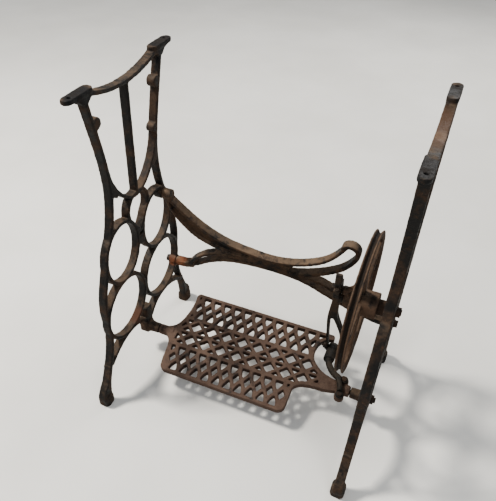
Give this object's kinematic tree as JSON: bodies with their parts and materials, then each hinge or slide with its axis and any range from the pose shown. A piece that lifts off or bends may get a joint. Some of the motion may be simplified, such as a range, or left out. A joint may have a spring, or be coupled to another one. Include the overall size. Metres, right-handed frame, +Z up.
{
  "type": "treadle table stand",
  "caption": "Cast-iron treadle stand for a sewing table: openwork side frames, arched brace, rocking grille treadle, belt wheel, crank and forked pitman.",
  "frame": {"origin": "bottom centre of the bounding box, on the floor under the middle of the stand", "axes": "+Z up, +Y to the back of the stand, +X to the user's right, the drive wheel's side"},
  "size_m": [0.578, 0.4246, 0.7],
  "materials": {
    "frame_iron": "rough, rusted remains of black japan",
    "brace_iron": "rough, rusted remains of black japan",
    "treadle_iron": "rough brown rust",
    "lever_iron": "rough, dark",
    "wheel_iron": "rough brown rust",
    "pitman_iron": "rough, dark rust",
    "fastener_steel": "rusted steel",
    "bushing_metal": "dull"
  },
  "bodies": {
    "stand": {"left_side_frame": "frame_iron", "right_side_frame": "frame_iron", "cross_brace": "brace_iron", "brace_bolts": "fastener_steel", "brace_washers": "fastener_steel", "wheel_axle": "fastener_steel", "axle_washer": "fastener_steel", "axle_nut": "fastener_steel", "axle_end_collar": "fastener_steel", "pivot_screw_left": "fastener_steel", "pivot_screw_right": "fastener_steel", "pivot_locknuts": "fastener_steel"},
    "treadle": {"treadle_plate": "treadle_iron", "treadle_lever": "lever_iron", "lever_bolts": "fastener_steel", "lever_nuts": "fastener_steel"},
    "wheel": {"drive_wheel": "wheel_iron", "crank_pin": "fastener_steel", "crank_pin_nut": "fastener_steel"},
    "pitman": {"pitman_rod": "pitman_iron", "pitman_cap": "pitman_iron", "pitman_bushing": "bushing_metal", "cap_screws": "fastener_steel", "fork_point_screws": "fastener_steel", "fork_screw_nuts": "fastener_steel"}
  },
  "joints": [
    {"name": "treadle_rock", "type": "hinge", "parent": "stand", "child": "treadle", "pos_m": [0, 0, 0.072], "axis": [1, 0, 0], "range_deg": [-35.03, 0]},
    {"name": "wheel_spin", "type": "hinge", "parent": "stand", "child": "wheel", "pos_m": [0.212, 0, 0.331], "axis": [1, 0, 0], "range_deg": [0, 176.14]},
    {"name": "pitman_swing", "type": "hinge", "parent": "wheel", "child": "pitman", "pos_m": [0.168, -0.00919, 0.35532], "axis": [-1, 0, 0], "range_deg": [0, 180.04]}
  ],
  "couplings": [
    {"joint": "wheel_spin", "follows": "treadle_rock", "ratio": -5.0269},
    {"joint": "pitman_swing", "follows": "treadle_rock", "ratio": -5.1382}
  ]
}
